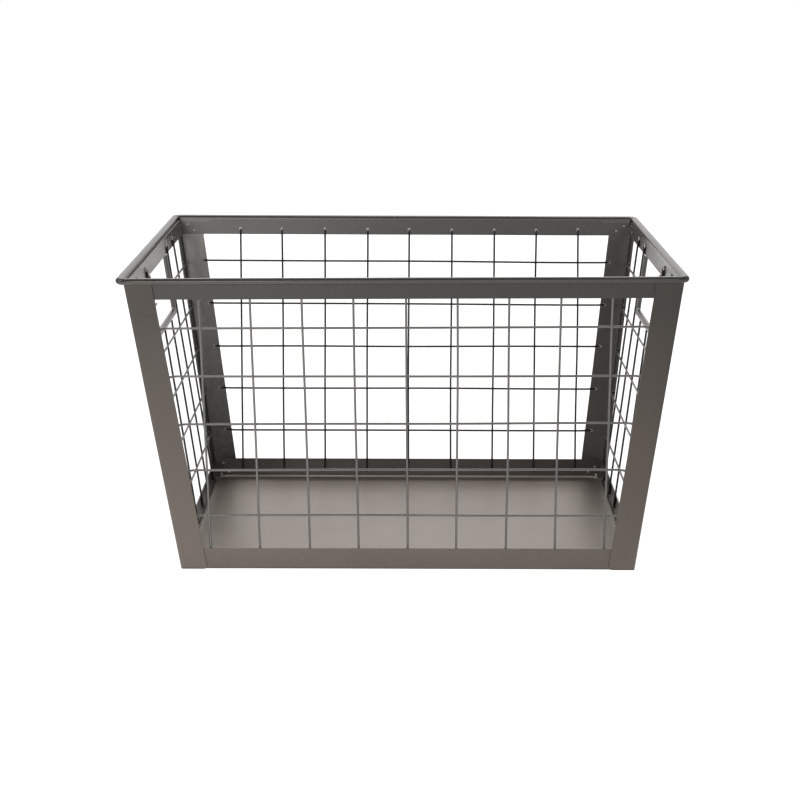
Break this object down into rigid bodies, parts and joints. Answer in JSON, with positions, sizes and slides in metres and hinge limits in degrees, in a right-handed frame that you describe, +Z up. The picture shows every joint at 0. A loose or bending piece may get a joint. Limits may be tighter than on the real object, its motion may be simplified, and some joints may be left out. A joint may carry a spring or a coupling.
{
  "type": "wire mesh container",
  "caption": "Open-top tapered wire mesh container with a rolled steel rim, sheet bands top and bottom, angle corner posts, framed hand openings in the short walls and a sheet steel pan.",
  "frame": {"origin": "centre of the underside, on the surface the container stands on", "axes": "+X to the right along the long side, -Y to the front long wall, +Z up"},
  "size_m": [0.4188, 0.3178, 0.237],
  "materials": {
    "sheet": "satin dark pewter lacquer on sheet steel",
    "post": "satin dark pewter lacquer on folded sheet steel",
    "wire": "satin dark pewter lacquer on drawn steel wire",
    "pan": "thin clear-grey lacquer on brushed sheet steel"
  },
  "bodies": {
    "root": {"rim_bead": "sheet", "front_top_band": "sheet", "rear_top_band": "sheet", "left_top_band": "sheet", "right_top_band": "sheet", "front_bottom_band": "sheet", "rear_bottom_band": "sheet", "left_bottom_band": "sheet", "right_bottom_band": "sheet", "front_left_post": "post", "front_right_post": "post", "rear_left_post": "post", "rear_right_post": "post", "bottom_pan": "pan", "left_handle_frame": "post", "right_handle_frame": "post", "front_upright_wires": "wire", "front_cross_wires": "wire", "rear_upright_wires": "wire", "rear_cross_wires": "wire", "left_upright_wires": "wire", "left_short_upright_wires": "wire", "left_cross_wires": "wire", "left_short_cross_wires": "wire", "right_upright_wires": "wire", "right_short_upright_wires": "wire", "right_cross_wires": "wire", "right_short_cross_wires": "wire"}
  },
  "joints": []
}
